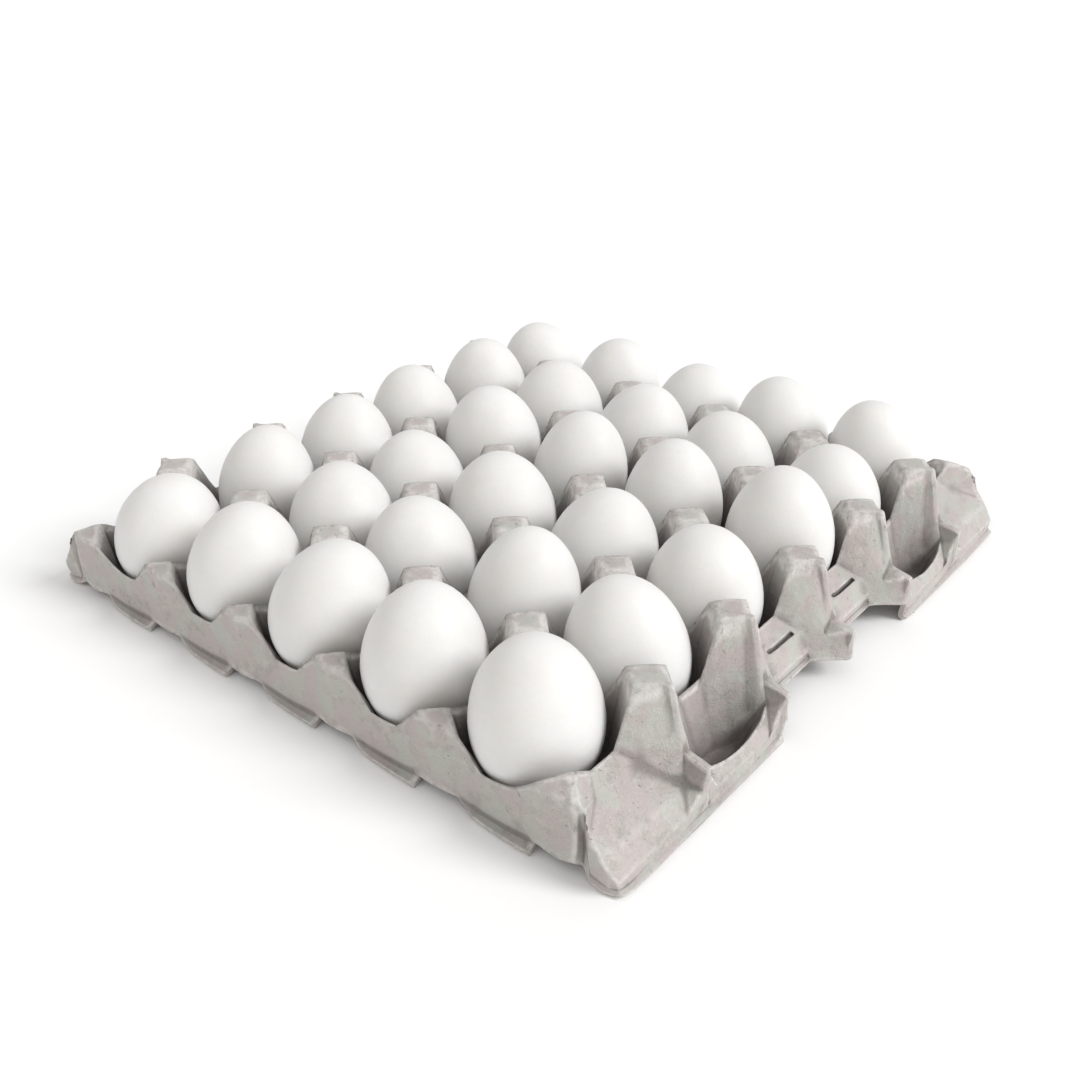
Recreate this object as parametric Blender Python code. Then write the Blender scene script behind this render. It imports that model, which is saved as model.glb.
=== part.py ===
# Thirty-cell moulded pulp egg tray with its thirty white eggs.
# The tray is one pressed sheet. It has five egg cups along X and six along Y, a hollow
# post wherever four cups meet, low half posts along its two Y edges, and along its two
# X edges a sloping flange with corner panels, deep half cells and finger holds.
# Metres, +Z up, origin at the middle of the tray's underside.

import math

import bmesh
import bpy
from mathutils import Matrix, Vector
from mathutils.bvhtree import BVHTree

MM = 0.001

# Layout of the cups.
PITCH = 48.5 * MM
CUPS_X = 5
CUPS_Y = 6
WALL = 2.2 * MM
FOLD_LIMIT = 1.4
GROUND_SNAP = 0.4 * MM
MERGE_DISTANCE = 0.02 * MM

# Posts, saddles and edges. Heights are from the ground.
POST_Z = 44.0 * MM
POST_REACH = 9.2 * MM
SADDLE_Z = 26.0 * MM
SADDLE_HALF = 6.8 * MM
EDGE_SADDLE_HALF = 5.1 * MM
HALF_POST_Z = 31.5 * MM
HALF_POST_REACH = 8.2 * MM
HALF_POST_INSET = 10.6 * MM
DIP_Z = 18.6 * MM
DIP_HALF = 6.2 * MM

# Egg cups.
CUP_FLOOR_RADIUS = 9.7 * MM
CUP_WAIST_REACH = 0.84
CUP_WAIST_Z = 11.6 * MM
CUP_WAIST_RISE = 0.10
CUP_WAIST_DRAW = 5.0

# Y edges: how far the dips of the rim line stand inside the outer edge of the tray, and
# the shoulders and the nose of a half post, as (distance inside the outer edge, height),
# inside an edge and at the tray's corners.
RIM_DIP_INSET = 4.0 * MM
SHOULDER = (3.8, 30.2)
NOSE = (2.2, 29.2)
CORNER_SHOULDER = (2.4, 28.0)
CORNER_NOSE = (1.2, 28.0)
RIM_WAIST_REACH = 0.58
BELLY_SHARE = 0.90
SKIRT_MID_Z = 10.0 * MM

# Bottom of the Y skirts below the corners of the rim line, as (distance inside the
# outer edge, height), and the lip that stands out from it, as (x from the middle of the
# cup, distance inside the outer edge, height). The first point of the lip is on the
# skirt's own edge.
SKIRT_FEET = ((3.4, 3.9), (3.4, 2.8), (3.4, 3.0), (3.2, 3.8))
SKIRT_LIP = ((-7.5, 1.0, 1.8), (5.5, 0.2, 1.6), (15.8, 0.0, 1.7))
NOSE_FOOT = (2.4, 3.4)

# X edges. Points are (out, along, height) in millimetres: out from the last row of
# posts, along from the middle of a half cell towards a rib. Where a height is missing,
# the point is on the sloping panel. The tops of a rib's edge and of the groove beside it
# are (out, beside the rib's middle), at the height of the post.
RIB_CREST = ((14.6, 22.3), (22.0, 20.6), (23.9, 19.7))
RIB_HALF_WIDTHS = (1.2, 1.3, 1.5)
RIB_EDGE_DROP = 0.3
RIB_TOP = (8.0, 1.2)
GROOVE_TOP = (6.3, 1.5)
GROOVE_FOOT = (14.0, 21.8, 21.6)
RIB_CORE = ((5.6, 41.0), (13.0, 18.0), (19.0, 13.2), (21.6, 12.2))
RIB_CREST_FROM = 6.0 * MM
RIB_CREST_ABOVE = 14.0 * MM
RIB_CREST_BESIDE = 1.8 * MM
RIB_END = (24.0, 8.2)
WALL_ROWS = ((22.9, 6.8), (23.0, 2.9), (24.25, 0.9))
PANEL_RIDGE_Z = 25.0
PANEL_FALL = 0.60
PANEL_TOP = ((3.0, 6.0), (5.0, 10.5))
PANEL_EDGE = (18.7, 7.0)
CORNER_FOOT = (16.9, 20.7, 12.6)
CORNER_END = (22.9, 22.3, 12.2)
CORNER_WALL_FOOT = 14.5
HOLD_BREAK = (8.2, 12.7, 19.7)
HOLD_FOOT = (13.4, 16.4, 16.2)
HOLD_END = (22.9, 22.4, 12.4)
HOLD_PAD = ((12.1, 12.6, 12.6), (12.0, 12.9, 10.0))
HOLD_EDGE = ((23.8, 22.4, 8.3), (18.8, 18.0, 8.5), (13.3, 13.2, 8.6))
SLIT_OUT = 6.9 * MM
SLIT_SIZE = (1.5 * MM, 18.0 * MM, 30.0 * MM)
DEEP_END = (22.9, 22.7, 16.3)
DEEP_RIM = ((17.4, 21.5, 14.8), (19.2, 16.6, 13.2), (20.2, 9.0, 11.6), (20.6, 0.0, 10.8))
DEEP_WALL_FEET = (16.0, 12.0, 7.0, 0.0)
DEEP_WAIST = ((4.4, 6.0, 12.8), (6.8, 12.4, 12.6), (11.8, 18.6, 12.4),
              (15.2, 18.4, 10.4), (17.0, 14.6, 9.4), (17.9, 8.6, 7.4), (18.1, 0.0, 6.6))
DEEP_FLOOR = ((8.4, 4.9), (12.4, 12.4), (15.2, 10.8), (16.4, 5.4), (16.6, 0.0))
CORNER_TOP = ((3.0, 4.5), (5.5, 9.5))
CORNER_RIDGE = ((11.3, 22.3, 23.7), (12.9, 22.6, 18.9), (16.4, 22.7, 14.5),
                (19.7, 22.3, 10.1))
CORNER_EDGE = (18.9, 17.0)

# Skirt round the tray's corner: the column next to the half post, the groove beside it,
# and the columns below the corner ridge, which end in the lip.
CORNER_POST_FOOT = ((8.1, 22.1, 13.0), (7.0, 21.6, 5.0))
CORNER_GROOVE = ((9.9, 21.0, 26.2), (9.2, 19.2, 14.0), (8.6, 19.2, 3.6))
CORNER_SKIRT = (
    ((12.4, 22.0, 10.5), (12.4, 20.4, 3.5), (12.2, 21.4, 1.9)),
    ((16.0, 22.3, 8.8), (15.7, 20.9, 3.1), (15.4, 21.8, 1.2)),
    ((19.9, 21.9, 6.2), (19.2, 20.9, 2.9), (19.0, 21.8, 0.9)),
    ((22.4, 20.6, 6.4), (22.0, 19.6, 2.9), (23.0, 20.2, 0.9)),
)

# Egg sizes, as length and width.
EGG_GRADES = {
    "round": (51.0, 43.2),
    "small": (53.5, 43.5),
    "medium": (55.5, 43.5),
    "broad": (54.5, 45.2),
    "slim": (57.0, 41.8),
    "large": (56.5, 45.2),
    "tall": (59.0, 43.0),
}

# Rows of eggs from the +X side to the -X side, and in each row from -Y to +Y.
# Each egg has its grade, its lean in degrees and its slide in millimetres, both towards
# LEAN_AZIMUTH, which runs roughly along the tray's diagonal.
LEAN_AZIMUTH = math.radians(40.0)
EGG_ROWS = {
    "a": (("medium", -2, -2), ("medium", -11, -1), ("small", -4, -1),
          ("tall", 0, 2), ("round", 1, -1), ("slim", -12, -3)),
    "b": (("medium", 3, -2), ("slim", 6, 2), ("small", 11, 1),
          ("slim", 1, 1), ("small", -6, -3), ("medium", -9, -3)),
    "c": (("small", 17, -2), ("small", -4, -1), ("broad", -2, -2),
          ("slim", 8, 1), ("broad", 10, -1), ("round", 2, 1)),
    "d": (("small", 13, -1), ("small", 3, 2), ("round", -5, -2),
          ("large", -2, -1), ("broad", 0, -2), ("small", 4, 1)),
    "e": (("round", 16, -1), ("slim", 8, 3), ("medium", 6, 1),
          ("medium", -5, -2), ("medium", 1, -1), ("round", -12, -5)),
}
EGG_TAPER = 0.10
EGG_SEGMENTS = 14
EGG_RINGS = 8
REST_GAP = 0.3 * MM
SETTLE_STEP = 0.2 * MM
EDGE_ROW_INSET = 2.6 * MM

HALF_X = 0.5 * CUPS_X * PITCH
HALF_Y = 0.5 * CUPS_Y * PITCH
HALF = 0.5 * PITCH


def clear_scene():
    for old in list(bpy.data.objects):
        bpy.data.objects.remove(old, do_unlink=True)


def make_material(name, colour, roughness):
    material = bpy.data.materials.new(name)
    material.use_nodes = True
    shader = material.node_tree.nodes["Principled BSDF"]
    shader.inputs["Base Color"].default_value = (*colour, 1.0)
    shader.inputs["Roughness"].default_value = roughness
    shader.inputs["Metallic"].default_value = 0.0
    return material


# The sheet's upper face is collected as polygons with corners of their own, which are
# merged once the whole sheet is laid out.
def add_face(sheet, corners):
    sheet.faces.new([sheet.verts.new(corner) for corner in corners])


def add_strip(sheet, first, second):
    for k in range(len(first) - 1):
        add_face(sheet, (first[k], first[k + 1], second[k + 1], second[k]))


# A hollow between a closed boundary and an inner ring, with a waist ring between them.
def add_hollow(sheet, boundary, waist, inner):
    for outer_ring, inner_ring in ((boundary, waist), (waist, inner)):
        add_strip(sheet, outer_ring + outer_ring[:1], inner_ring + inner_ring[:1])
    add_face(sheet, inner)


# Crest of the sheet between two full posts, one pitch apart, as (distance from the
# middle, height).
def full_crest():
    corner = HALF - POST_REACH
    return ((-corner, POST_Z), (-SADDLE_HALF, SADDLE_Z),
            (SADDLE_HALF, SADDLE_Z), (corner, POST_Z))


# The same crest where it runs from a full post to a half post at the Y edge.
def edge_crest():
    corner = HALF - POST_REACH
    half_corner = HALF - HALF_POST_INSET
    return ((-half_corner, HALF_POST_Z), (-EDGE_SADDLE_HALF, SADDLE_Z),
            (SADDLE_HALF, SADDLE_Z), (corner, POST_Z))


# A corner of a half post's top, at its middle or beside it, on the Y edge given by side.
def half_post_point(x, middle, side, inner, corner):
    inset, z = corner if abs(middle) > HALF_X - HALF else inner
    return Vector((x, side * (HALF_Y - inset * MM), z * MM))


def shoulder(x, middle, side):
    return half_post_point(x, middle, side, SHOULDER, CORNER_SHOULDER)


def nose(x, side):
    return half_post_point(x, x, side, NOSE, CORNER_NOSE)


# Rim of an edge cup, from one half post to the next.
def rim_line(cx, side):
    reach = HALF - HALF_POST_REACH
    dip = side * (HALF_Y - RIM_DIP_INSET)
    return (shoulder(cx - reach, cx - HALF, side), Vector((cx - DIP_HALF, dip, DIP_Z)),
            Vector((cx + DIP_HALF, dip, DIP_Z)), shoulder(cx + reach, cx + HALF, side))


# Boundary of one cup, anticlockwise from the +X side. side is -1 or +1 for a cup on
# the -Y or +Y edge, and 0 for a cup inside the tray.
def cup_boundary(cx, cy, side):
    crest = full_crest()
    lengthwise = crest
    if side == -1:
        lengthwise = edge_crest()
    if side == 1:
        lengthwise = tuple((-s, z) for s, z in reversed(edge_crest()))
    east = [Vector((cx + HALF, cy + s, z)) for s, z in lengthwise]
    west = [Vector((cx - HALF, cy + s, z)) for s, z in reversed(lengthwise)]
    north = [Vector((cx + s, cy + HALF, z)) for s, z in reversed(crest)]
    south = [Vector((cx + s, cy - HALF, z)) for s, z in crest]
    if side == 1:
        north = list(reversed(rim_line(cx, side)))
    if side == -1:
        south = list(rim_line(cx, side))
    return east + north + west + south


# The cup's waist ring stands higher and nearer to the middle below a post's corner than
# below a saddle.
def add_cup(sheet, cx, cy, side):
    boundary = cup_boundary(cx, cy, side)
    inner = []
    waist = []
    for point in boundary:
        outwards = Vector((point.x - cx, point.y - cy))
        foot = outwards.normalized() * CUP_FLOOR_RADIUS
        inner.append(Vector((cx + foot.x, cy + foot.y, WALL)))
        above_saddle = point.z - SADDLE_Z
        share = CUP_WAIST_REACH - CUP_WAIST_DRAW * max(above_saddle, 0.0)
        if abs(point.y) > HALF_Y - RIM_DIP_INSET - MM:
            share = RIM_WAIST_REACH
        reach = foot.lerp(outwards, share)
        rise = CUP_WAIST_Z + CUP_WAIST_RISE * above_saddle
        waist.append(Vector((cx + reach.x, cy + reach.y, rise)))
    add_hollow(sheet, boundary, waist, inner)


# Flat top of a full post: a square whose corners point at the neighbouring posts. On an
# X edge the outer corner is narrowed to the width of the rib that begins there.
def add_post_top(sheet, x, y):
    corners = [(POST_REACH, 0), (0, POST_REACH), (-POST_REACH, 0), (0, -POST_REACH)]
    if abs(x) > HALF_X - MM:
        outer = 0 if x > 0 else 2
        way = math.copysign(MM, x)
        before = [(way * out, -way * beside) for out, beside in (GROOVE_TOP, RIB_TOP)]
        after = [(way * out, way * beside) for out, beside in (RIB_TOP, GROOVE_TOP)]
        corners[outer:outer + 1] = before + [corners[outer]] + after
    add_face(sheet, [Vector((x + dx, y + dy, POST_Z)) for dx, dy in corners])


# Sloping top of a half post, whose nose stands out over the Y edge.
def add_half_post_top(sheet, x, side):
    inner = Vector((x, side * (HALF_Y - HALF_POST_INSET), HALF_POST_Z))
    left = shoulder(x - HALF_POST_REACH, x, side)
    right = shoulder(x + HALF_POST_REACH, x, side)
    corners = [inner, left, nose(x, side), right]
    add_face(sheet, corners if side < 0 else corners[::-1])


# One upright line of the Y skirt below a point of its rim: rim, belly and bottom edge.
def skirt_column(rim, side, foot):
    bottom = Vector((rim.x, side * (HALF_Y - foot[0] * MM), foot[1] * MM))
    belly = rim.lerp(bottom, BELLY_SHARE)
    belly.z = max(SKIRT_MID_Z, 0.5 * (rim.z + bottom.z))
    return rim, belly, bottom


def add_columns(sheet, columns):
    for row in range(len(columns[0]) - 1):
        upper = [column[row] for column in columns]
        lower = [column[row + 1] for column in columns]
        add_strip(sheet, upper, lower)


def nose_column(x, side):
    return skirt_column(nose(x, side), side, NOSE_FOOT)


# Skirt below the rim of one edge cup, from one half post to the next, with a lip along
# its bottom that ends short beside one of them.
def add_skirt(sheet, cx, side):
    columns = [nose_column(cx - HALF, side)]
    for rim, foot in zip(rim_line(cx, side), SKIRT_FEET):
        columns.append(skirt_column(rim, side, foot))
    columns.append(nose_column(cx + HALF, side))
    add_columns(sheet, columns)
    bottom = [column[-1] for column in columns[1:-1]]
    lip = [bottom[0]]
    lip += [Vector((cx + x * MM, side * (HALF_Y - inset * MM), z * MM))
            for x, inset, z in SKIRT_LIP]
    add_face(sheet, (bottom[0], bottom[1], lip[1]))
    add_strip(sheet, bottom[1:], lip[1:])


# A half cell of the flange. side_x is the edge it belongs to, middle_y its middle, and
# side_y the way that along runs in it.
class HalfCell:
    def __init__(self, side_x, middle_y, side_y):
        self.side_x = side_x
        self.middle_y = middle_y
        self.side_y = side_y

    def point(self, out, along, z, mirror=1):
        x = self.side_x * (HALF_X + out * MM)
        return Vector((x, self.middle_y + self.side_y * mirror * along * MM, z * MM))

    # A point of the sloping panel, or one with a height of its own.
    def place(self, corner, mirror=1):
        out, along = corner[:2]
        z = corner[2] if len(corner) == 3 else PANEL_RIDGE_Z - PANEL_FALL * out
        return self.point(out, along, z, mirror)

    # Crest of a rib from its post's corner outwards: its middle line and the edge of it
    # that belongs to this half cell.
    def rib(self, mirror=1):
        out, beside = RIB_TOP
        middle = [self.point(POST_REACH / MM, HALF / MM, POST_Z / MM, mirror)]
        edge = [self.point(out, HALF / MM - beside, POST_Z / MM, mirror)]
        for (out, z), half_width in zip(RIB_CREST, RIB_HALF_WIDTHS):
            along = HALF / MM - half_width
            middle.append(self.point(out, HALF / MM, z, mirror))
            edge.append(self.point(out, along, z - RIB_EDGE_DROP, mirror))
        return middle, edge

    # Groove between a post's face and its rib, from the post's top downwards.
    def groove(self, mirror=1):
        out, beside = GROOVE_TOP
        top = self.point(out, HALF / MM - beside, POST_Z / MM, mirror)
        return [top, self.point(*GROOVE_FOOT, mirror)]

    # Half of the crest towards the last row of cups, from its middle to a post.
    def ridge(self, mirror=1):
        corner = (HALF - POST_REACH) / MM
        return [self.point(0.0, SADDLE_HALF / MM, SADDLE_Z / MM, mirror),
                self.point(0.0, corner, POST_Z / MM, mirror)]

    # Wall below a rim point, down to the lip at the flange's bottom. Its foot is below
    # the rim point, unless it has an along of its own.
    def wall(self, corner, mirror=1, foot_along=None):
        top = self.place(corner, mirror)
        along = corner[1] if foot_along is None else foot_along
        return [top] + [self.point(out, along, z, mirror) for out, z in WALL_ROWS]

    # The lower end of a rib, and the wall below it.
    def rib_foot(self, mirror=1):
        rows = (RIB_END,) + WALL_ROWS[1:]
        return [self.point(out, HALF / MM, z, mirror) for out, z in rows]


# Top of a rib, its flank down to the groove beside it and the foot line, and its end
# face. The foot line runs from the post's face to the rib's end.
def add_rib_half(sheet, cell, mirror, foot, end):
    middle, edge = cell.rib(mirror)
    groove = cell.groove(mirror)
    add_strip(sheet, middle, edge)
    add_face(sheet, (edge[0], edge[1], groove[1], groove[0]))
    add_face(sheet, (edge[1], foot, groove[1]))
    add_face(sheet, (edge[1], edge[2], foot))
    add_face(sheet, (edge[2], end, foot))
    add_face(sheet, (edge[2], edge[3], end))
    add_face(sheet, (middle[3], edge[3], end, cell.rib_foot(mirror)[0]))


# Wall of the flange beside a rib, from the rib's end to the first column of the wall.
def add_rib_wall(sheet, cell, mirror, end, next_column):
    rib_foot = cell.rib_foot(mirror)
    column = cell.wall(end, mirror)
    add_face(sheet, (rib_foot[0], column[0], column[1]))
    add_strip(sheet, rib_foot, column[1:])
    add_face(sheet, (column[0], next_column[0], next_column[1]))
    add_face(sheet, (column[0], next_column[1], column[1]))
    add_columns(sheet, (column[1:], next_column[1:]))


# Half of a panel's upper end: the slope from the ridge, and the face of the post down to
# its foot line, which runs from the rib's foot to the panel's top.
def add_panel_top(sheet, cell, mirror, foot_line):
    ridge = cell.ridge(mirror)
    top = [cell.place(corner, mirror) for corner in PANEL_TOP]
    add_face(sheet, (ridge[0], ridge[1], top[1], top[0]))
    add_face(sheet, [ridge[1]] + cell.groove(mirror) + foot_line + [top[1]])
    return top


# Finger hold: a panel that falls steeply below its slit and stops short of the ground,
# arched in between its two ribs.
def add_finger_hold(sheet, cell):
    halves = []
    for mirror in (1, -1):
        foot = cell.place(HOLD_FOOT, mirror)
        end = cell.place(HOLD_END, mirror)
        fold = cell.place(HOLD_BREAK, mirror)
        top = add_panel_top(sheet, cell, mirror, [foot, fold])
        add_rib_half(sheet, cell, mirror, foot, end)
        pad = [cell.place(corner, mirror) for corner in HOLD_PAD]
        edge = [cell.place(corner, mirror) for corner in HOLD_EDGE]
        add_face(sheet, (fold, foot, pad[0]))
        add_face(sheet, (foot, end, edge[0], edge[1]))
        add_face(sheet, (foot, edge[1], pad[0]))
        add_face(sheet, (pad[0], edge[1], edge[2], pad[1]))
        add_face(sheet, (cell.rib_foot(mirror)[0], end, edge[0]))
        halves.append(top + [fold] + pad + [edge[2]])
    left, right = halves
    add_face(sheet, left[:3] + right[2::-1])
    add_strip(sheet, left[2:], right[2:])
    add_face(sheet, (left[0], right[0], cell.ridge(-1)[0], cell.ridge()[0]))


# Faces between two lines of points. attach gives, for each point of the first line, the
# point of the second line it belongs to.
def add_band(sheet, first, second, attach):
    for k in range(len(first) - 1):
        a, b = attach[k], attach[k + 1]
        if a == b:
            add_face(sheet, (first[k], first[k + 1], second[a]))
        else:
            add_face(sheet, (first[k], first[k + 1], second[b], second[a]))


# Deep half cell: the empty half of a cup, closed by a low curved rim.
def add_deep_cell(sheet, cell):
    waists = []
    floors = []
    for mirror in (1, -1):
        rim = [cell.place(corner, mirror) for corner in DEEP_RIM]
        waist = [cell.place(corner, mirror) for corner in DEEP_WAIST]
        floor = [cell.point(*corner, WALL / MM, mirror) for corner in DEEP_FLOOR]
        border = cell.ridge(mirror) + cell.groove(mirror) + rim
        add_band(sheet, border, waist, (0, 1, 2, 2, 3, 4, 5, 6))
        add_band(sheet, waist, floor, (0, 0, 1, 1, 2, 3, 4))
        add_rib_half(sheet, cell, mirror, rim[0], cell.place(DEEP_END, mirror))
        columns = [cell.wall(corner, mirror, foot_along)
                   for corner, foot_along in zip(DEEP_RIM, DEEP_WALL_FEET)]
        add_rib_wall(sheet, cell, mirror, DEEP_END, columns[0])
        add_columns(sheet, columns)
        waists.append(waist)
        floors.append(floor)
    left, right = waists
    add_face(sheet, (left[0], right[0], cell.ridge(-1)[0], cell.ridge()[0]))
    add_face(sheet, (left[0], right[0], floors[1][0], floors[0][0]))
    add_face(sheet, floors[0] + floors[1][-2::-1])


# Corner panel, between the last rib and the half post at the tray's corner. Its along
# runs towards the rib, so the tray's corner is on its mirrored side.
def add_corner(sheet, cell):
    foot = cell.place(CORNER_FOOT)
    top = add_panel_top(sheet, cell, 1, [foot])
    add_rib_half(sheet, cell, 1, foot, cell.place(CORNER_END))
    edge = cell.place(PANEL_EDGE)
    add_face(sheet, (top[1], foot, edge))
    saddle, half_post = [cell.point(0.0, s / MM, z / MM) for s, z in edge_crest()[1::-1]]
    half_post_x = cell.side_x * HALF_X
    post_corner = shoulder(half_post_x + cell.side_x * HALF_POST_REACH, half_post_x,
                           -cell.side_y)
    far_top = [cell.place(corner, -1) for corner in CORNER_TOP]
    ridge = [cell.place(corner, -1) for corner in CORNER_RIDGE]
    groove = [cell.place(corner, -1) for corner in CORNER_GROOVE]
    far_edge = [cell.place(CORNER_EDGE, -1), cell.place(PANEL_EDGE, -1)]
    add_face(sheet, (top[0], far_top[0], saddle, cell.ridge()[0]))
    add_face(sheet, (saddle, half_post, far_top[1], far_top[0]))
    add_face(sheet, (half_post, post_corner, far_top[1]))
    add_face(sheet, (post_corner, groove[0], ridge[0], far_top[1]))
    add_face(sheet, (far_top[1], ridge[0], ridge[1]))
    add_face(sheet, (far_top[1], ridge[1], ridge[2], far_edge[0]))
    add_face(sheet, (ridge[2], ridge[3], far_edge[0]))
    add_face(sheet, top + [edge] + far_edge[::-1] + far_top[::-1])
    skirt = []
    for crown, column in zip(ridge[1:] + ridge[-1:], CORNER_SKIRT):
        skirt.append([crown] + [cell.place(corner, -1) for corner in column])
    add_columns(sheet, skirt[:3])
    add_face(sheet, (skirt[2][0], skirt[3][1], skirt[2][1]))
    add_columns(sheet, [skirt[2][1:], skirt[3][1:]])
    columns = [cell.wall(CORNER_FOOT, foot_along=CORNER_WALL_FOOT), cell.wall(PANEL_EDGE)]
    columns += [cell.wall(PANEL_EDGE, -1), cell.wall(CORNER_EDGE, -1), skirt[3]]
    add_rib_wall(sheet, cell, 1, CORNER_END, columns[0])
    add_columns(sheet, columns)
    post_column = [post_corner] + [cell.place(corner, -1) for corner in CORNER_POST_FOOT]
    post_middle = nose_column(half_post_x, -cell.side_y)
    add_columns(sheet, [post_middle, post_column, groove])
    first = skirt[0]
    add_face(sheet, (groove[0], ridge[0], first[0], groove[1]))
    add_face(sheet, (groove[1], first[0], first[1]))
    add_face(sheet, (groove[1], first[1], first[2], groove[2]))
    add_face(sheet, (groove[2], first[2], first[3]))


def add_flanges(sheet):
    for side_x in (-1, 1):
        for side_y in (-1, 1):
            add_finger_hold(sheet, HalfCell(side_x, side_y * 0.5 * PITCH, side_y))
            add_deep_cell(sheet, HalfCell(side_x, side_y * 1.5 * PITCH, side_y))
            add_corner(sheet, HalfCell(side_x, side_y * 2.5 * PITCH, -side_y))


def add_cups(sheet):
    for i in range(CUPS_X):
        for j in range(CUPS_Y):
            side = -1 if j == 0 else 1 if j == CUPS_Y - 1 else 0
            cx = (i - 0.5 * (CUPS_X - 1)) * PITCH
            cy = (j - 0.5 * (CUPS_Y - 1)) * PITCH
            add_cup(sheet, cx, cy, side)
            if side:
                add_skirt(sheet, cx, side)


def add_posts(sheet):
    for i in range(CUPS_X + 1):
        x = i * PITCH - HALF_X
        for j in range(1, CUPS_Y):
            add_post_top(sheet, x, j * PITCH - HALF_Y)
        for side in (-1, 1):
            add_half_post_top(sheet, x, side)


def make_slit_cutters():
    cutters = []
    for side_x in (-1, 1):
        for side_y in (-1, 1):
            bpy.ops.mesh.primitive_cube_add(size=1.0)
            cutter = bpy.context.object
            cutter.name = "slit_cutter"
            cutter.data.transform(Matrix.Diagonal((*SLIT_SIZE, 1.0)))
            cutter.location = (side_x * (HALF_X + SLIT_OUT), side_y * HALF, POST_Z * 0.5)
            cutter.hide_render = True
            cutter.display_type = "WIRE"
            cutters.append(cutter)
    return cutters


# The ribs of the X edges are pressed solid near their crest. Gives the place on the
# underside that belongs to a corner of a rib's crest, from its post's outer corner to
# the rib's end, or None for any other corner.
def rib_core(place):
    out = abs(place.x) - HALF_X
    y = round(place.y / PITCH) * PITCH
    beside_rib = abs(place.y - y) < RIB_CREST_BESIDE and abs(y) < HALF_Y
    if out < RIB_CREST_FROM or place.z < RIB_CREST_ABOVE or not beside_rib:
        return None
    crest_outs = [POST_REACH] + [crest_out * MM for crest_out, z in RIB_CREST]
    nearest = min(range(len(crest_outs)), key=lambda k: abs(crest_outs[k] - out))
    core_out, core_z = RIB_CORE[nearest]
    return Vector((math.copysign(HALF_X + core_out * MM, place.x), y, core_z * MM))


# Gives the sheet its thickness: a copy of every corner goes inwards along the corner's
# normal, a little further at folds, and never below the ground.
def thicken(sheet):
    sheet.normal_update()
    outer = list(sheet.verts)
    faces = list(sheet.faces)
    edges = [edge for edge in sheet.edges if edge.is_boundary]
    lower = {}
    cores = {}
    for vertex in outer:
        core = rib_core(vertex.co)
        if core:
            key = (round(core.x / MM), round(core.y / MM))
            if key not in cores:
                cores[key] = sheet.verts.new(core)
            lower[vertex] = cores[key]
            continue
        depth = WALL * min(vertex.calc_shell_factor(), FOLD_LIMIT)
        place = vertex.co - vertex.normal * depth
        if place.z < GROUND_SNAP:
            place.z = 0.0
        lower[vertex] = sheet.verts.new(place)
    for face in faces:
        corners = []
        for vertex in reversed(face.verts):
            if lower[vertex] not in corners:
                corners.append(lower[vertex])
        if len(corners) > 2:
            sheet.faces.new(corners)
    for edge in edges:
        loop = edge.link_loops[0]
        first, second = loop.vert, loop.link_loop_next.vert
        sheet.faces.new((second, first, lower[first], lower[second]))


# The sheet faces up, gets its thickness below, and stands flat on its cup floors.
def make_tray(material):
    sheet = bmesh.new()
    add_cups(sheet)
    add_posts(sheet)
    add_flanges(sheet)
    bmesh.ops.remove_doubles(sheet, verts=sheet.verts, dist=MERGE_DISTANCE)
    bmesh.ops.recalc_face_normals(sheet, faces=sheet.faces)
    highest = max(sheet.faces, key=lambda face: face.calc_center_median().z)
    if highest.normal.z < 0.0:
        bmesh.ops.reverse_faces(sheet, faces=sheet.faces)
    thicken(sheet)
    surface = BVHTree.FromBMesh(sheet)
    mesh = bpy.data.meshes.new("tray")
    sheet.to_mesh(mesh)
    sheet.free()
    tray = bpy.data.objects.new("tray", mesh)
    bpy.context.collection.objects.link(tray)
    mesh.materials.append(material)
    return tray, surface


# Egg turned about its long axis, blunt end down, narrowing towards the top.
def egg_mesh(name, length, width):
    egg = bmesh.new()
    rings = []
    for k in range(1, EGG_RINGS):
        angle = math.pi * k / EGG_RINGS
        z = -0.5 * length * math.cos(angle)
        radius = 0.5 * width * math.sin(angle) * (1.0 + EGG_TAPER * math.cos(angle))
        ring = []
        for s in range(EGG_SEGMENTS):
            turn = 2.0 * math.pi * s / EGG_SEGMENTS
            ring.append(egg.verts.new((radius * math.cos(turn), radius * math.sin(turn), z)))
        rings.append(ring)
    bottom = egg.verts.new((0.0, 0.0, -0.5 * length))
    top = egg.verts.new((0.0, 0.0, 0.5 * length))
    for s in range(EGG_SEGMENTS):
        n = (s + 1) % EGG_SEGMENTS
        egg.faces.new((bottom, rings[0][n], rings[0][s]))
        egg.faces.new((top, rings[-1][s], rings[-1][n]))
        for lower, upper in zip(rings, rings[1:]):
            egg.faces.new((lower[s], lower[n], upper[n], upper[s]))
    mesh = bpy.data.meshes.new(name)
    egg.to_mesh(mesh)
    egg.free()
    mesh.shade_smooth()
    return mesh


# Whether an egg, grown by the rest gap, touches the tray's surface at a place.
def touches(mesh, place, turn, surface):
    corners = [place + turn @ (vertex.co + vertex.normal * REST_GAP)
               for vertex in mesh.vertices]
    skin = BVHTree.FromPolygons(corners, [list(face.vertices) for face in mesh.polygons])
    return bool(surface.overlap(skin))


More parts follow.
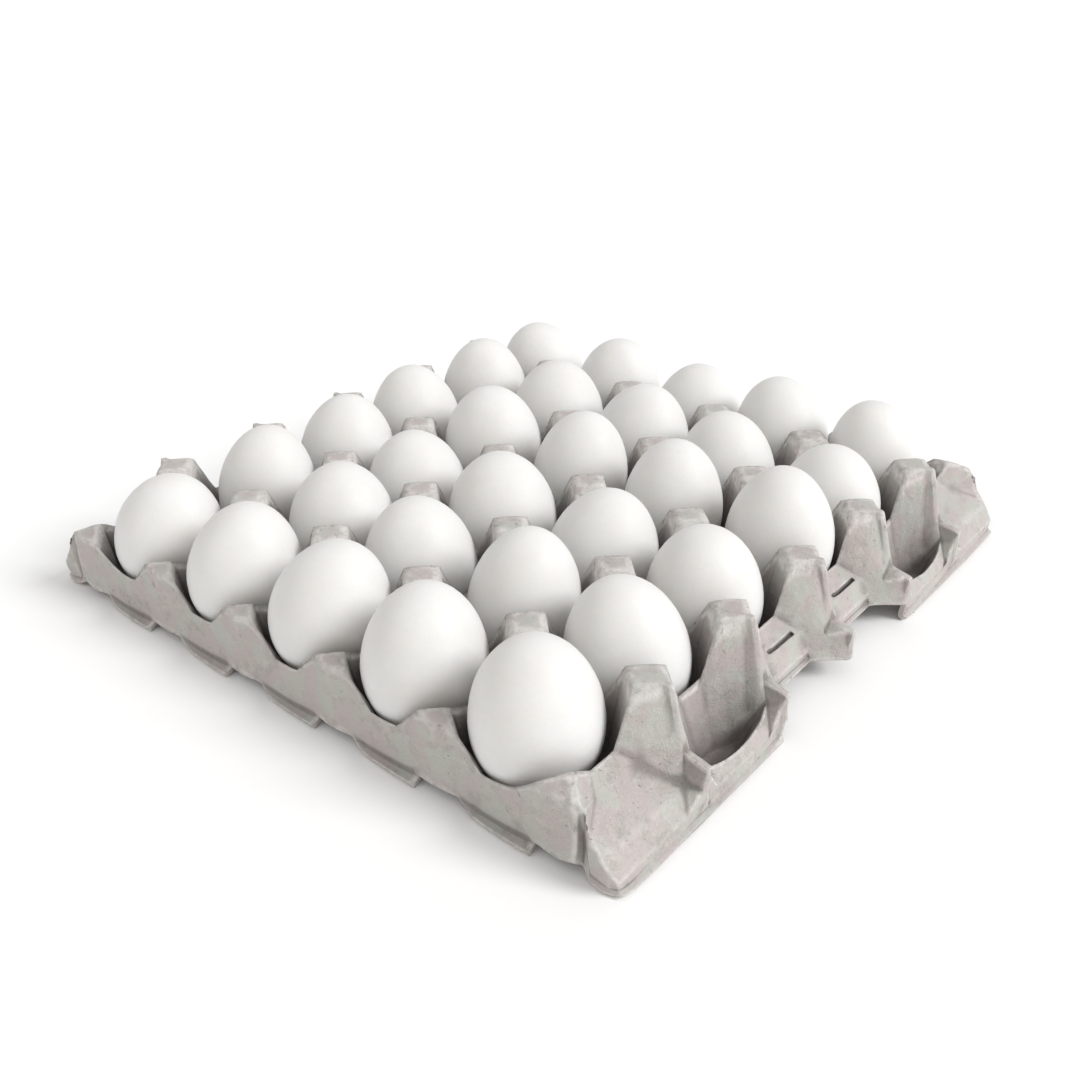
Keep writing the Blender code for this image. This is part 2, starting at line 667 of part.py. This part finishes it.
# The leaning egg starts with its lowest point on the cup's floor. Where it would press
# into a wall it moves up and back to the middle of the cup, step by step.
def make_egg(name, cx, cy, grade, lean, slide, material, surface):
    length, width = (size * MM for size in EGG_GRADES[grade])
    mesh = egg_mesh(name, length, width)
    mesh.materials.append(material)
    egg = bpy.data.objects.new(name, mesh)
    bpy.context.collection.objects.link(egg)
    towards = Vector((math.cos(LEAN_AZIMUTH), math.sin(LEAN_AZIMUTH), 0.0))
    tilt_axis = Vector((0.0, 0.0, 1.0)).cross(towards)
    turn = Matrix.Rotation(math.radians(lean), 3, tilt_axis)
    lowest = min((turn @ vertex.co).z for vertex in mesh.vertices)
    home = Vector((cx, cy, WALL + 1.1 * REST_GAP - lowest))
    place = home + towards * slide * MM
    while touches(mesh, place, turn, surface):
        back = Vector((home.x - place.x, home.y - place.y, 0.0))
        if back.length > SETTLE_STEP:
            place += back.normalized() * SETTLE_STEP
        place.z += 0.4 * SETTLE_STEP
    egg.rotation_euler = turn.to_euler()
    egg.location = place
    return egg


def make_eggs(material, surface):
    for i, (row, eggs) in enumerate(EGG_ROWS.items()):
        cx = (0.5 * (CUPS_X - 1) - i) * PITCH
        for j, (grade, lean, slide) in enumerate(eggs):
            cy = (j - 0.5 * (CUPS_Y - 1)) * PITCH
            if j in (0, CUPS_Y - 1):
                cy -= math.copysign(EDGE_ROW_INSET, cy)
            make_egg(f"egg_{row}{j + 1}", cx, cy, grade, lean, slide, material, surface)


def main():
    clear_scene()
    pulp = make_material("grey_pulp", (0.52, 0.49, 0.47), 0.95)
    shell = make_material("white_shell", (0.86, 0.85, 0.82), 0.55)
    tray, surface = make_tray(pulp)
    for cutter in make_slit_cutters():
        cut = tray.modifiers.new("slit", "BOOLEAN")
        cut.operation = "DIFFERENCE"
        cut.object = cutter
    make_eggs(shell, surface)


main()
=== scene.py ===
import math
import random

import bmesh
import bpy
from mathutils import Matrix, Vector
from mathutils.bvhtree import BVHTree


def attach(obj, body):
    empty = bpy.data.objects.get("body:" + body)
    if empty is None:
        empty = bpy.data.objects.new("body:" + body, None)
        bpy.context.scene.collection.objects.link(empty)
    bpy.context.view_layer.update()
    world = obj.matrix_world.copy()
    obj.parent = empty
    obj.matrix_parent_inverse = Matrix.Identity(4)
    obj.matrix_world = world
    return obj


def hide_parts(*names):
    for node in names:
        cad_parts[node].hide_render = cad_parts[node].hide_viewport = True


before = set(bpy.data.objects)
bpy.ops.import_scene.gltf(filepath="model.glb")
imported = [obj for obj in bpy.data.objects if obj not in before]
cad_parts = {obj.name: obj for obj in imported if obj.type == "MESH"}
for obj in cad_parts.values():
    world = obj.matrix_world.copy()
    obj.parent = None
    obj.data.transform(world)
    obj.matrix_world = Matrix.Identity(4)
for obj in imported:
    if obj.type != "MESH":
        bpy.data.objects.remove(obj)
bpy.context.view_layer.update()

# lengths are in metres and angles in degrees


# a shader socket that Python's own arithmetic works on
class ShaderValue:
    def __init__(self, tree, socket=None):
        self.tree = tree
        self.socket = socket

    # any node: its type, its settings, then the values or links of its inputs
    def node(self, kind, settings, inputs, output=0):
        made = self.tree.nodes.new(kind)
        for name, value in settings.items():
            setattr(made, name, value)
        for name, value in inputs.items():
            if isinstance(value, ShaderValue):
                self.tree.links.new(value.socket, made.inputs[name])
            else:
                made.inputs[name].default_value = value
        return ShaderValue(self.tree, made.outputs[output])

    def maths(self, operation, first, second):
        return self.node("ShaderNodeMath", {"operation": operation}, {0: first, 1: second})

    def __add__(self, other):
        return self.maths("ADD", self, other)

    def __radd__(self, other):
        return self.maths("ADD", other, self)

    def __sub__(self, other):
        return self.maths("SUBTRACT", self, other)

    def __rsub__(self, other):
        return self.maths("SUBTRACT", other, self)

    def __mul__(self, other):
        return self.maths("MULTIPLY", self, other)

    def __rmul__(self, other):
        return self.maths("MULTIPLY", other, self)

    # cloudy patches of about the given size
    def noise(self, place, size, detail=3.0, roughness=0.55, distortion=0.0):
        return self.node("ShaderNodeTexNoise", {}, {
            "Vector": place, "Scale": 1.0 / size, "Detail": detail,
            "Roughness": roughness, "Distortion": distortion})

    # a value that is stored at the points of the mesh
    def attribute(self, name):
        return self.node("ShaderNodeAttribute", {"attribute_name": name}, {}, output="Fac")

    # 0 below low, 1 above high
    def between(self, low, high):
        return self.node("ShaderNodeMapRange", {"clamp": True}, {
            "Value": self, "From Min": low, "From Max": high, "To Min": 0.0, "To Max": 1.0})

    # the first colour at 0, the second at 1
    def mix(self, first, second):
        return self.node("ShaderNodeMix", {"data_type": "RGBA"}, {
            "Factor": self, 6: first, 7: second}, output=2)

    def bump(self, height, strength, distance):
        return self.node("ShaderNodeBump", {}, {
            "Strength": strength, "Distance": distance, "Height": height})


def newMaterial(name):
    material = bpy.data.materials.new(name)
    material.use_nodes = True
    tree = material.node_tree
    shader = tree.nodes["Principled BSDF"]
    start = ShaderValue(tree)
    place = start.node("ShaderNodeTexCoord", {}, {}, output="Object")
    return material, shader, start, place


def wire(shader, name, value):
    shader.id_data.links.new(value.socket, shader.inputs[name])


def setSkin(shader, roughness, specular):
    shader.inputs["Roughness"].default_value = roughness
    shader.inputs["Specular IOR Level"].default_value = specular


def deselectAll():
    bpy.ops.object.select_all(action="DESELECT")


def activate(piece):
    deselectAll()
    piece.select_set(True)
    bpy.context.view_layer.objects.active = piece


def editMode(piece):
    activate(piece)
    bpy.ops.object.mode_set(mode="EDIT")


def objectMode():
    bpy.ops.object.mode_set(mode="OBJECT")


def applyModifier(piece, kind, **settings):
    activate(piece)
    modifier = piece.modifiers.new(kind.lower(), kind)
    for name, value in settings.items():
        setattr(modifier, name, value)
    bpy.ops.object.modifier_apply(modifier=modifier.name)


# pushes the surface in and out by soft lumps of one size, height from lowest to highest
def addLumps(piece, name, size, height, depth):
    lumps = bpy.data.textures.new(name, "CLOUDS")
    lumps.noise_scale = size
    lumps.noise_depth = depth
    lumps.noise_basis = "IMPROVED_PERLIN"
    applyModifier(piece, "DISPLACE", texture=lumps, strength=height, mid_level=0.5,
                  texture_coords="LOCAL")


def finishPiece(piece, material):
    activate(piece)
    bpy.ops.object.shade_smooth()
    piece.data.materials.append(material)


trayLook = {
    "mergeDistance": 0.00002,
    "flatAngle": 32.0,              # flatter pairs of triangles become quads
    "skewAngle": 120.0,             # how skew such a quad may be
    "foldAngle": 26.0,              # sharper folds stay folds
    "bendAngle": 16.0,              # and flatter ones are rounded all the way
    "bendCrease": 0.5,
    "smoothLevels": 2,
    "foldSoftness": 0.5,
    "foldRounds": 1,
    "lipFrom": 0.1438,              # how far out the lip of a flange starts
    "lipHeights": (0.0005, 0.0015),
    "lipPull": (0.0006, 0.0006),    # how far it is drawn out and up
    "lumpSizes": (0.0036, 0.0240),
    "lumpHeights": (0.00055, 0.0010),
    "lumpDepth": 2,
    "footHeight": 0.0001,
}


# painted shade in hollows and creases, and pale outer edges in spots, partly rubbed wear
# and partly painted highlight
paintedLightAndWearLook = {
    "rays": 48,
    "lift": 0.0003,
    "reach": 0.045,                 # what is farther off doesn't close a hollow
    "grazing": 0.1,                 # rays flatter to the surface than this are left out
    "hollowRange": (0.12, 0.95),
    # the colour of the painted shade in hollows and creases
    "hollow": (0.13, 0.111, 0.106, 1.0),
    "edgeRange": (0.025, 0.14),
    # the colour of the pale edges, partly painted highlight and partly rubbed wear
    "edge": (0.77, 0.742, 0.715, 1.0),
    "edgeShare": 0.85,
    "paleSpotRange": (0.30, 0.60),
    "creaseShadeShare": 0.55,
}


def copyOfNode(nodeName, pieceName):
    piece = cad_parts[nodeName].copy()
    piece.data = piece.data.copy()
    piece.name = pieceName
    piece.data.name = pieceName
    for key in list(piece.keys()):
        del piece[key]
    piece.parent = None
    bpy.context.scene.collection.objects.link(piece)
    piece.data.materials.clear()
    return piece


# the loose triangles share their corners again, and flat pairs become quads
def joinFaces(tray):
    editMode(tray)
    bpy.ops.mesh.select_all(action="SELECT")
    bpy.ops.mesh.remove_doubles(threshold=trayLook["mergeDistance"])
    bpy.ops.mesh.tris_convert_to_quads(face_threshold=math.radians(trayLook["flatAngle"]),
                                       shape_threshold=math.radians(trayLook["skewAngle"]))
    objectMode()


# moves the corners of a mesh that are in a certain place
def moveCorners(piece, isThere, shift):
    editMode(piece)
    bpy.ops.mesh.select_mode(type="VERT")
    bpy.ops.mesh.select_all(action="DESELECT")
    objectMode()
    for vertex in piece.data.vertices:
        vertex.select = isThere(vertex.co)
    editMode(piece)
    bpy.ops.transform.translate(value=shift)
    objectMode()


# the lip along the bottom of both flanges stands out, as a pressed rim does
def pullLips(tray):
    low, high = trayLook["lipHeights"]
    out, up = trayLook["lipPull"]
    for side in (1, -1):
        moveCorners(tray, lambda place: side * place.x > trayLook["lipFrom"]
                    and low < place.z < high, (side * out, 0.0, up))


# folds stay sharp while the faces between them are smoothed
def creaseFolds(tray):
    mesh = bmesh.new()
    mesh.from_mesh(tray.data)
    crease = mesh.edges.layers.float.new("crease_edge")
    for edge in mesh.edges:
        angle = math.degrees(edge.calc_face_angle(0.0))
        if angle > trayLook["foldAngle"]:
            edge[crease] = 1.0
        elif angle > trayLook["bendAngle"]:
            edge[crease] = trayLook["bendCrease"]
    mesh.to_mesh(tray.data)
    mesh.free()


def storeValues(piece, name, values):
    layer = piece.data.attributes.new(name, "FLOAT", "POINT")
    layer.data.foreach_set("value", values)


# directions spread evenly all round, on a spiral from the top to the bottom of a ball
def allDirections():
    directions = []
    count = paintedLightAndWearLook["rays"]
    goldenAngle = math.pi * (3.0 - math.sqrt(5.0))
    for index in range(count):
        z = 1.0 - (index + 0.5) * 2.0 / count
        angle = index * goldenAngle
        reach = math.sqrt(1.0 - z * z)
        directions.append(Vector((reach * math.cos(angle), reach * math.sin(angle), z)))
    return directions


# share of the rays from a point of the surface that meet nothing
def opennessAt(vertex, tree, directions):
    normal = vertex.normal
    start = vertex.co + normal * paintedLightAndWearLook["lift"]
    seen = 0.0
    total = 0.0
    for direction in directions:
        weight = normal.dot(direction)
        if weight > paintedLightAndWearLook["grazing"]:
            total += weight
            if tree.ray_cast(start, direction, paintedLightAndWearLook["reach"])[0] is None:
                seen += weight
    return seen / max(total, 0.001)


# how far the surface falls away to all sides of a point
def bendAt(vertex):
    bends = [(edge.other_vert(vertex).co - vertex.co).normalized().dot(vertex.normal)
             for edge in vertex.link_edges]
    return -sum(bends) / len(bends)


# two values at every point of the tray, which set where shade and highlight are painted
# into its colour: how open it lies, from 0 in a deep hollow to 1, and how much it is on an
# outer edge (above 0) or in an inner crease (below 0)
def measurePaintedLightFactors(tray):
    mesh = bmesh.new()
    mesh.from_mesh(tray.data)
    mesh.normal_update()
    tree = BVHTree.FromBMesh(mesh)
    directions = allDirections()
    openness = [opennessAt(vertex, tree, directions) for vertex in mesh.verts]
    edges = [bendAt(vertex) for vertex in mesh.verts]
    mesh.free()
    storeValues(tray, "openness", openness)
    storeValues(tray, "edge", edges)


# the feet are pressed flat where the tray stands
def flattenFeet(tray):
    for vertex in tray.data.vertices:
        vertex.co.z = max(vertex.co.z, trayLook["footHeight"])


def makePulpTray():
    tray = copyOfNode("tray", "pulp_tray")
    joinFaces(tray)
    pullLips(tray)
    creaseFolds(tray)
    levels = trayLook["smoothLevels"]
    applyModifier(tray, "SUBSURF", levels=levels, render_levels=levels)
    applyModifier(tray, "SMOOTH", factor=trayLook["foldSoftness"],
                  iterations=trayLook["foldRounds"])
    # how open each point lies and how it bends, for the painted shade and highlight in the
    # pulp's colour
    measurePaintedLightFactors(tray)
    for size, height in zip(trayLook["lumpSizes"], trayLook["lumpHeights"]):
        addLumps(tray, "pulpLumps", size, height, trayLook["lumpDepth"])
    flattenFeet(tray)
    finishPiece(tray, makePulpMaterial())
    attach(tray, "root")
    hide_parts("tray")
    print("tray done", len(tray.data.polygons), "faces")
    return tray


pulpLook = {
    "cloudSize": 0.015,             # three sizes of lighter and darker patches,
    "mottleSize": 0.0032,
    "fibreSize": 0.0010,
    "toneShares": (0.25, 0.40, 0.35),       # and what each adds to the tone
    "toneRange": (0.41, 0.59),
    "light": (0.62, 0.583, 0.556, 1.0),
    "dark": (0.45, 0.420, 0.400, 1.0),
    "warmSize": 0.010,              # pink patches
    "warmRange": (0.42, 0.54),
    "warm": (0.57, 0.511, 0.497, 1.0),
    "coolSize": 0.013,              # green patches
    "coolRange": (0.50, 0.58),
    "cool": (0.55, 0.553, 0.515, 1.0),
    "tintShare": 0.9,
    "fleckSize": 0.0020,
    "fleckRange": (0.64, 0.72),
    "fleckGroupSize": 0.008,
    "fleckGroupRange": (0.50, 0.58),
    "fleckShare": 0.8,
    "fleck": (0.15, 0.14, 0.13, 1.0),
    "roughness": 0.93,
    "specular": 0.25,
    "bumpShares": (0.6, 0.8, 0.3),  # of the fibres, the mottle and the sunk flecks
    "bumpStrength": 0.85,
    "bumpDistance": 0.0010,
}


# painted shade: the less open a place is, the darker its colour is painted
def paintShadeInHollows(start, base):
    openness = start.attribute("openness").between(*paintedLightAndWearLook["hollowRange"])
    return openness.mix(paintedLightAndWearLook["hollow"], base)


# pale on outer edges, in spots, partly rubbed wear and partly painted highlight; painted
# shade in creases
def paintEdgeHighlightsAndCreaseShade(start, base, spots):
    edge = start.attribute("edge")
    low, high = paintedLightAndWearLook["edgeRange"]
    paleSpots = spots.between(*paintedLightAndWearLook["paleSpotRange"])
    pale = edge.between(low, high) * paleSpots * paintedLightAndWearLook["edgeShare"]
    crease = (0.0 - edge).between(low, high) * paintedLightAndWearLook["creaseShadeShare"]
    return crease.mix(pale.mix(base, paintedLightAndWearLook["edge"]), paintedLightAndWearLook["hollow"])


# pressed grey fibre: mottled pink and green, with matted fibres, a few dark flecks that
# are torn in outline, and a rough skin
def makePulpMaterial():
    material, shader, start, place = newMaterial("greyPulp")
    cloudy = start.noise(place, pulpLook["cloudSize"], detail=4.0)
    mottle = start.noise(place, pulpLook["mottleSize"], detail=4.0, roughness=0.65)
    fibre = start.noise(place, pulpLook["fibreSize"], detail=5.0, roughness=0.7,
                        distortion=1.6)
    cloudShare, mottleShare, fibreShare = pulpLook["toneShares"]
    tone = cloudy * cloudShare + mottle * mottleShare + fibre * fibreShare
    grey = tone.between(*pulpLook["toneRange"]).mix(pulpLook["dark"], pulpLook["light"])
    warmPatches = start.noise(place, pulpLook["warmSize"])
    warm = warmPatches.between(*pulpLook["warmRange"]) * pulpLook["tintShare"]
    coolPatches = start.noise(place, pulpLook["coolSize"], roughness=0.5, distortion=0.4)
    cool = coolPatches.between(*pulpLook["coolRange"]) * pulpLook["tintShare"]
    base = cool.mix(warm.mix(grey, pulpLook["warm"]), pulpLook["cool"])
    specks = start.noise(place, pulpLook["fleckSize"], roughness=0.7, distortion=2.0)
    groups = start.noise(place, pulpLook["fleckGroupSize"], detail=2.0)
    fleck = (specks.between(*pulpLook["fleckRange"])
             * groups.between(*pulpLook["fleckGroupRange"]) * pulpLook["fleckShare"])
    # painted shade in hollows and creases, and pale edges that are partly painted highlight
    base = paintEdgeHighlightsAndCreaseShade(start, paintShadeInHollows(start, base), mottle)
    wire(shader, "Base Color", fleck.mix(base, pulpLook["fleck"]))
    setSkin(shader, pulpLook["roughness"], pulpLook["specular"])
    fibreBump, mottleBump, fleckBump = pulpLook["bumpShares"]
    height = fibre * fibreBump + mottle * mottleBump - fleck * fleckBump
    wire(shader, "Normal", start.bump(height, pulpLook["bumpStrength"],
                                      pulpLook["bumpDistance"]))
    return material


fibreLook = {
    "count": 3600,
    "sides": 3,
    "seed": 5,
    "lengths": (0.0005, 0.0032),
    "widths": (0.00036, 0.00012),   # short fibres are thick crumbs, long ones thin
    "sink": 0.3,                    # share of its thickness below the surface
    "bow": 0.22,                    # how far the middle bows out, of the length
    "pinch": 1.2,                   # how much thinner it gets towards its ends
    "light": (0.62, 0.59, 0.56, 1.0),
    "dark": (0.30, 0.28, 0.26, 1.0),
    "patchSize": 0.0035,            # patches of light fibres and of dark ones
    "patchRange": (0.46, 0.50),
}


# a thin rod of length 1 and thickness 1 along X, with a ring of corners in its middle
def makeFibreShape():
    deselectAll()
    bpy.ops.mesh.primitive_cylinder_add(vertices=fibreLook["sides"], radius=0.5, depth=1.0,
                                        rotation=(0.0, math.radians(90), 0.0))
    fibre = bpy.context.object
    bpy.ops.object.transform_apply(rotation=True)
    editMode(fibre)
    bpy.ops.mesh.select_all(action="SELECT")
    bpy.ops.mesh.bisect(plane_co=(0.0, 0.0, 0.0), plane_no=(1.0, 0.0, 0.0))
    objectMode()
    corners = [vertex.co.copy() for vertex in fibre.data.vertices]
    sides = [list(face.vertices) for face in fibre.data.polygons]
    bpy.data.objects.remove(fibre, do_unlink=True)
    return corners, sides


# value of a pair at a share of the way from its first to its second
def along(pair, share):
    return pair[0] * (1 - share) + pair[1] * share


# corners of one fibre that lies half sunk in a face of the tray
def placeFibre(shape, face, mesh, draw):
    share = draw.random()
    length = along(fibreLook["lengths"], share)
    width = along(fibreLook["widths"], share)
    bow = length * fibreLook["bow"] * draw.uniform(-1.0, 1.0)
    ends = [mesh.vertices[index].co for index in face.vertices]
    place = ends[0].lerp(ends[1], draw.random()).lerp(ends[2], draw.random() * 0.5)
    place = place + face.normal * width * (0.5 - fibreLook["sink"])
    turn = Matrix.Rotation(draw.uniform(0.0, 2 * math.pi), 3, face.normal)
    lengthwise = turn @ face.normal.orthogonal().normalized()
    across = face.normal.cross(lengthwise)
    corners = []
    for point in shape:
        thickness = width * (1.0 - fibreLook["pinch"] * abs(point.x))
        sideways = point.y * thickness + bow * (1 - 4 * point.x ** 2)
        corners.append(place + lengthwise * point.x * length + across * sideways
                       + face.normal * point.z * thickness)
    return corners


# fibres and crumbs of pulp all over the tray, joined to one mesh
def makeFibres(tray):
    shape, sides = makeFibreShape()
    draw = random.Random(fibreLook["seed"])
    mesh = tray.data
    areas = [face.area for face in mesh.polygons]
    # how open the tray lies there, for the painted shade on the fibres
    trayOpenness = mesh.attributes["openness"].data
    openness = []
    corners = []
    faces = []
    for face in draw.choices(mesh.polygons, areas, k=fibreLook["count"]):
        faces += [[len(corners) + index for index in side] for side in sides]
        corners += placeFibre(shape, face, mesh, draw)
        openness += [trayOpenness[face.vertices[0]].value] * len(shape)
    joined = bpy.data.meshes.new("pulp_fibres")
    joined.from_pydata(corners, [], faces)
    piece = bpy.data.objects.new("pulp_fibres", joined)
    bpy.context.scene.collection.objects.link(piece)
    storeValues(piece, "openness", openness)
    finishPiece(piece, makeFibreMaterial())
    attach(piece, "root")
    print("fibres done", len(faces), "faces")


# light and dark fibres, with painted shade in the hollows as the pulp round them has
def makeFibreMaterial():
    material, shader, start, place = newMaterial("pulpFibre")
    patches = start.noise(place, fibreLook["patchSize"], detail=1.0)
    kind = patches.between(*fibreLook["patchRange"])
    base = kind.mix(fibreLook["dark"], fibreLook["light"])
    wire(shader, "Base Color", paintShadeInHollows(start, base))
    setSkin(shader, pulpLook["roughness"], pulpLook["specular"])
    return material


eggLook = {
    "segments": 44,
    "rings": 30,
    "slimmest": 0.985,              # width one way, of the width the other way
    "taper": 0.16,
    "taperSpread": 0.05,
    "lumpSize": 0.020,
    "lumpHeight": 0.0006,
    "lumpDepth": 1,
    "firstSeed": 7,
}


# length, width and turn of an egg, read from the CAD egg's own points
def measureEgg(nodeName):
    points = [vertex.co.copy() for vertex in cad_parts[nodeName].data.vertices]
    middle = sum(points, Vector()) / len(points)
    first = max(points, key=lambda point: (point - middle).length)
    second = max(points, key=lambda point: (point - first).length)
    top, bottom = (first, second) if first.z > second.z else (second, first)
    axis = (top - bottom).normalized()
    centre = (top + bottom) / 2
    width = 2 * max((point - centre - axis * axis.dot(point - centre)).length
                    for point in points)
    return centre, axis, (top - bottom).length, width


def makeEgg(nodeName, material, draw):
    centre, axis, length, width = measureEgg(nodeName)
    deselectAll()
    bpy.ops.mesh.primitive_uv_sphere_add(segments=eggLook["segments"],
                                         ring_count=eggLook["rings"], radius=0.5)
    egg = bpy.context.object
    egg.name = "hen_" + nodeName
    egg.data.name = egg.name
    editMode(egg)
    bpy.ops.mesh.select_all(action="SELECT")
    slimmer = draw.uniform(eggLook["slimmest"], 1.0)
    bpy.ops.transform.resize(value=(width * slimmer, width, length))
    objectMode()
    taper = eggLook["taper"] + draw.uniform(-0.5, 0.5) * eggLook["taperSpread"]
    applyModifier(egg, "SIMPLE_DEFORM", deform_method="TAPER", deform_axis="Z",
                  factor=-taper)
    addLumps(egg, "shellLumps", eggLook["lumpSize"], eggLook["lumpHeight"],
             eggLook["lumpDepth"])
    spin = Matrix.Rotation(draw.uniform(0.0, 2 * math.pi), 4, "Z")
    turn = axis.to_track_quat("Z", "Y").to_matrix().to_4x4()
    egg.data.transform(Matrix.Translation(centre) @ turn @ spin)
    finishPiece(egg, material)
    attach(egg, "root")
    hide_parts(nodeName)


shellLook = {
    "light": (0.785, 0.782, 0.770, 1.0),
    "deep": (0.755, 0.746, 0.728, 1.0),
    "cloudSize": 0.016,
    "fineSize": 0.0016,
    "toneShares": (0.7, 0.3),
    "toneRange": (0.35, 0.62),
    "poresPerMetre": 1100.0,
    "poreRange": (0.05, 0.35),
    "bumpShares": (0.4, 0.6),       # of the pores and of the fine grain
    "bumpStrength": 0.25,
    "bumpDistance": 0.0003,
    "roughness": 0.52,
    "specular": 0.35,
    "glowShare": 0.5,               # light that goes in and comes out near by
    "glowDepths": (0.012, 0.010, 0.008),
}


# white shell: matt, faintly uneven in tone, with fine pores
def makeShellMaterial():
    material, shader, start, place = newMaterial("whiteShell")
    cloudy = start.noise(place, shellLook["cloudSize"])
    fine = start.noise(place, shellLook["fineSize"])
    cloudShare, fineShare = shellLook["toneShares"]
    tone = (cloudy * cloudShare + fine * fineShare).between(*shellLook["toneRange"])
    wire(shader, "Base Color", tone.mix(shellLook["deep"], shellLook["light"]))
    pores = start.node("ShaderNodeTexVoronoi", {"feature": "F1"}, {
        "Vector": place, "Scale": shellLook["poresPerMetre"], "Randomness": 1.0})
    poreBump, fineBump = shellLook["bumpShares"]
    height = pores.between(*shellLook["poreRange"]) * poreBump + fine * fineBump
    wire(shader, "Normal", start.bump(height, shellLook["bumpStrength"],
                                      shellLook["bumpDistance"]))
    setSkin(shader, shellLook["roughness"], shellLook["specular"])
    shader.inputs["Subsurface Weight"].default_value = shellLook["glowShare"]
    shader.inputs["Subsurface Radius"].default_value = shellLook["glowDepths"]
    shader.inputs["Subsurface Scale"].default_value = 1.0
    return material


def makeEggs():
    material = makeShellMaterial()
    names = sorted(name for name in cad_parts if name.startswith("egg_"))
    for index, nodeName in enumerate(names):
        makeEgg(nodeName, material, random.Random(eggLook["firstSeed"] + index))
    print("eggs done", len(names))


stageLook = {
    "floorSize": 14.0,
    "floorColour": (0.95, 0.95, 0.95, 1.0),
    "floorRoughness": 0.9,
    "floorGlow": 0.02,
    "skyStrength": 0.64,
    "keyFrom": (0.93, 0.36, 0.76),
    "keyWidth": 26.0,               # how wide the light looks
    "keyStrength": 2.05,
    "keyColour": (1.0, 1.0, 1.0),
    "fillFrom": (0.10, -1.0, 0.34),
    "fillWidth": 80.0,
    "fillStrength": 0.28,
    "fillColour": (1.0, 0.90, 0.72),
}


def makeFloor():
    deselectAll()
    bpy.ops.mesh.primitive_plane_add(size=stageLook["floorSize"])
    floor = bpy.context.object
    floor.name = "floor"
    material, shader = newMaterial("paleFloor")[:2]
    shader.inputs["Base Color"].default_value = stageLook["floorColour"]
    setSkin(shader, stageLook["floorRoughness"], 0.0)
    shader.inputs["Emission Color"].default_value = (1.0, 1.0, 1.0, 1.0)
    shader.inputs["Emission Strength"].default_value = stageLook["floorGlow"]
    floor.data.materials.append(material)


def addSoftSun(name):
    light = bpy.data.lights.new(name, "SUN")
    light.angle = math.radians(stageLook[name + "Width"])
    light.energy = stageLook[name + "Strength"]
    light.color = stageLook[name + "Colour"]
    lamp = bpy.data.objects.new(name, light)
    bpy.context.scene.collection.objects.link(lamp)
    shine = -Vector(stageLook[name + "From"])
    lamp.rotation_euler = shine.to_track_quat("-Z", "Y").to_euler()


def makeLight():
    world = bpy.data.worlds.new("studio")
    bpy.context.scene.world = world
    world.use_nodes = True
    sky = world.node_tree.nodes["Background"]
    sky.inputs["Color"].default_value = (1.0, 1.0, 1.0, 1.0)
    sky.inputs["Strength"].default_value = stageLook["skyStrength"]
    for name in ("key", "fill"):
        addSoftSun(name)
    bpy.context.scene.view_settings.view_transform = "Standard"
    print("stage done")


cameraLook = {
    "place": (0.28049, -0.34124, 0.25035),
    "target": (-0.00985, 0.00957, 0.0),
    "roll": -0.006135,              # in radians
    "lens": 38.61,                  # in millimetres, as the sensor's width
    "sensorWidth": 36.0,
}


def makeCamera():
    data = bpy.data.cameras.new("camera")
    data.lens = cameraLook["lens"]
    data.sensor_width = cameraLook["sensorWidth"]
    data.sensor_fit = "HORIZONTAL"
    camera = bpy.data.objects.new("camera", data)
    bpy.context.scene.collection.objects.link(camera)
    place = Vector(cameraLook["place"])
    look = (Vector(cameraLook["target"]) - place).to_track_quat("-Z", "Y")
    camera.location = place
    turn = look.to_matrix() @ Matrix.Rotation(cameraLook["roll"], 3, "Z")
    camera.rotation_euler = turn.to_euler()
    bpy.context.scene.camera = camera


makeCamera()
makeFibres(makePulpTray())
makeEggs()
makeFloor()
makeLight()
